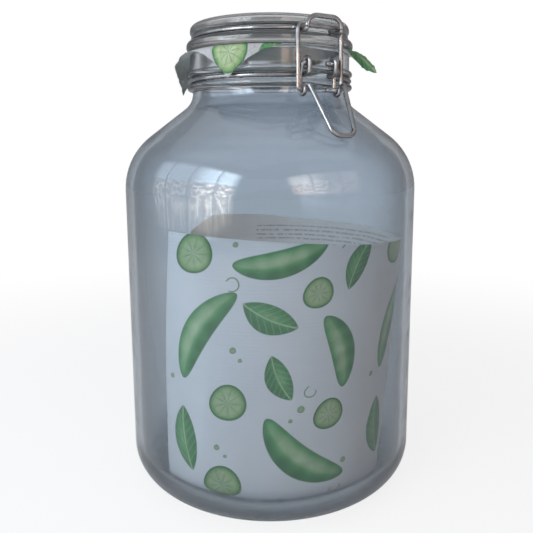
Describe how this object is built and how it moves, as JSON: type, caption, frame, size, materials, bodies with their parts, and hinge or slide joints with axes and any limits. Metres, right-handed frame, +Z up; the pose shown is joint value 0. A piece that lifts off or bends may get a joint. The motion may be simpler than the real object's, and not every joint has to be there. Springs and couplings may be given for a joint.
{
  "type": "glass jar",
  "caption": "Tall round glass storage jar with a wire bail closure and hinged glass lid, a printed square sheet over its mouth and a rolled printed leaflet inside.",
  "frame": {"origin": "centre of the jar's base, on the ground", "axes": "+Z up along the jar's axis; -Y towards the closure; +Y towards the lid's hinge; +X to the right seen from the closure"},
  "size_m": [0.178, 0.178, 0.2813],
  "materials": {
    "jar_glass": "polished",
    "lid_glass": "polished",
    "jar_steel": "bright drawn wire",
    "lid_steel": "bright drawn wire",
    "lever_steel": "bright drawn wire",
    "hasp_steel": "bright drawn wire",
    "sheet_paper": "matt, crinkled, printed",
    "leaflet_paper": "matt, printed"
  },
  "bodies": {
    "jar": {"glass_jar": "jar_glass", "neck_wire": "jar_steel", "printed_sheet": "sheet_paper", "leaflet": "leaflet_paper"},
    "lid": {"glass_lid": "lid_glass", "lid_wire": "lid_steel"},
    "lever": {"lever": "lever_steel"},
    "hasp": {"hasp": "hasp_steel"}
  },
  "joints": [
    {"name": "lid_hinge", "type": "hinge", "parent": "jar", "child": "lid", "pos_m": [0, 0.0534, 0.25915], "axis": [-1, 0, 0], "range_deg": [0, 180]},
    {"name": "lever_pivot", "type": "hinge", "parent": "jar", "child": "lever", "pos_m": [0, -0.0534, 0.25465], "axis": [-1, 0, 0], "range_deg": [0, 120]},
    {"name": "hasp_pivot", "type": "hinge", "parent": "lever", "child": "hasp", "pos_m": [0, -0.05339, 0.24055], "axis": [-1, 0, 0], "range_deg": [-82.8, 0]}
  ],
  "couplings": [
    {"joint": "hasp_pivot", "follows": "lever_pivot", "ratio": -0.69}
  ]
}
